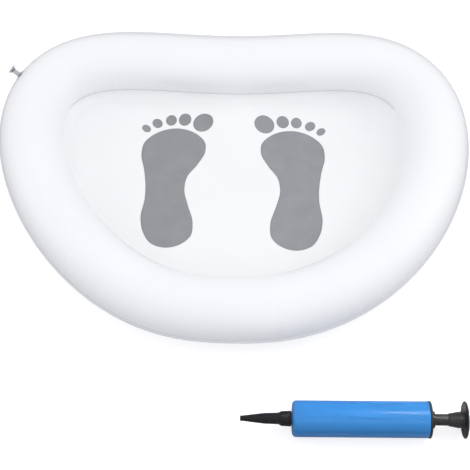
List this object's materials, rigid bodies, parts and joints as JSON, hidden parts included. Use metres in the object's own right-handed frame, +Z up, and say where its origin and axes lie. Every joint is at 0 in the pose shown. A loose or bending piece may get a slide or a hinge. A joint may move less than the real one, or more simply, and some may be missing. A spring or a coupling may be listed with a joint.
{
  "type": "inflatable foot bath",
  "caption": "Bean-shaped inflatable foot bath of welded white film with grey footprints on its floor, a clear plug valve and a hand pump with nozzle and plunger.",
  "frame": {"origin": "on the ground under the floor sheet, at the middle of the bath's width and depth", "axes": "+Z up, +Y towards the concave back where the toes point, +X to the right; the pump lies ahead of the front, towards -Y"},
  "size_m": [0.7696, 0.7211, 0.0899],
  "materials": {
    "white_film": "satin welded vinyl film",
    "grey_print": "satin grey print on the film",
    "clear_vinyl": "clear soft vinyl",
    "blue_barrel": "glossy moulded plastic",
    "black_plastic": "satin moulded plastic",
    "black_rubber": "matte",
    "grey_plastic": "moulded"
  },
  "bodies": {
    "bath": {"ring_top_skin": "white_film", "ring_bottom_skin": "white_film", "floor_sheet": "white_film", "left_sole_print": "grey_print", "left_toe_print_1": "grey_print", "left_toe_print_2": "grey_print", "left_toe_print_3": "grey_print", "left_toe_print_4": "grey_print", "left_toe_print_5": "grey_print", "right_sole_print": "grey_print", "right_toe_print_1": "grey_print", "right_toe_print_2": "grey_print", "right_toe_print_3": "grey_print", "right_toe_print_4": "grey_print", "right_toe_print_5": "grey_print", "valve_flange": "clear_vinyl"},
    "valve": {"valve_stem": "clear_vinyl", "strap_ring": "clear_vinyl"},
    "valve_cap": {"valve_cap": "clear_vinyl"},
    "valve_flap": {"valve_flap": "clear_vinyl"},
    "pump": {"pump_barrel": "blue_barrel", "pump_end_cap": "black_plastic", "rod_bush": "black_plastic", "outlet_insert": "grey_plastic"},
    "nozzle": {"nozzle": "black_plastic"},
    "check_disc": {"outlet_check_disc": "black_rubber"},
    "piston": {"piston_head": "grey_plastic", "piston_seal": "black_rubber"},
    "plunger": {"plunger_rod": "black_plastic", "rod_retainer": "grey_plastic", "plunger_handle": "black_plastic"}
  },
  "joints": [
    {"name": "pump_lift", "type": "slide", "parent": "bath", "child": "pump", "axis": [0, 0, 1], "range_m": [0, 0.25]},
    {"name": "plunger_slide", "type": "slide", "parent": "pump", "child": "piston", "axis": [1, -0.0087, 0], "range_m": [0, 0.1655]},
    {"name": "plunger_spin", "type": "hinge", "parent": "piston", "child": "plunger", "pos_m": [0.0838, -0.4008, 0.0266], "axis": [1, -0.0087, 0], "continuous": true},
    {"name": "nozzle_pull", "type": "slide", "parent": "pump", "child": "nozzle", "axis": [-1, 0.0087, 0], "range_m": [0, 0.03]},
    {"name": "check_disc_lift", "type": "slide", "parent": "pump", "child": "check_disc", "axis": [-1, 0.0087, 0], "range_m": [0, 0.0015]},
    {"name": "valve_push", "type": "slide", "parent": "bath", "child": "valve", "axis": [-0.7991, 0.3868, 0.4602], "range_m": [-0.0102, 0]},
    {"name": "valve_cap_hinge", "type": "hinge", "parent": "valve", "child": "valve_cap", "pos_m": [-0.37045, 0.19641, 0.06412], "axis": [-0.4356, -0.9001, 0], "range_deg": [0, 150]},
    {"name": "valve_flap_hinge", "type": "hinge", "parent": "valve", "child": "valve_flap", "pos_m": [-0.35413, 0.18851, 0.06554], "axis": [-0.4356, -0.9001, 0], "range_deg": [0, 60], "stiffness_Nm_per_rad": 0.0002}
  ]
}
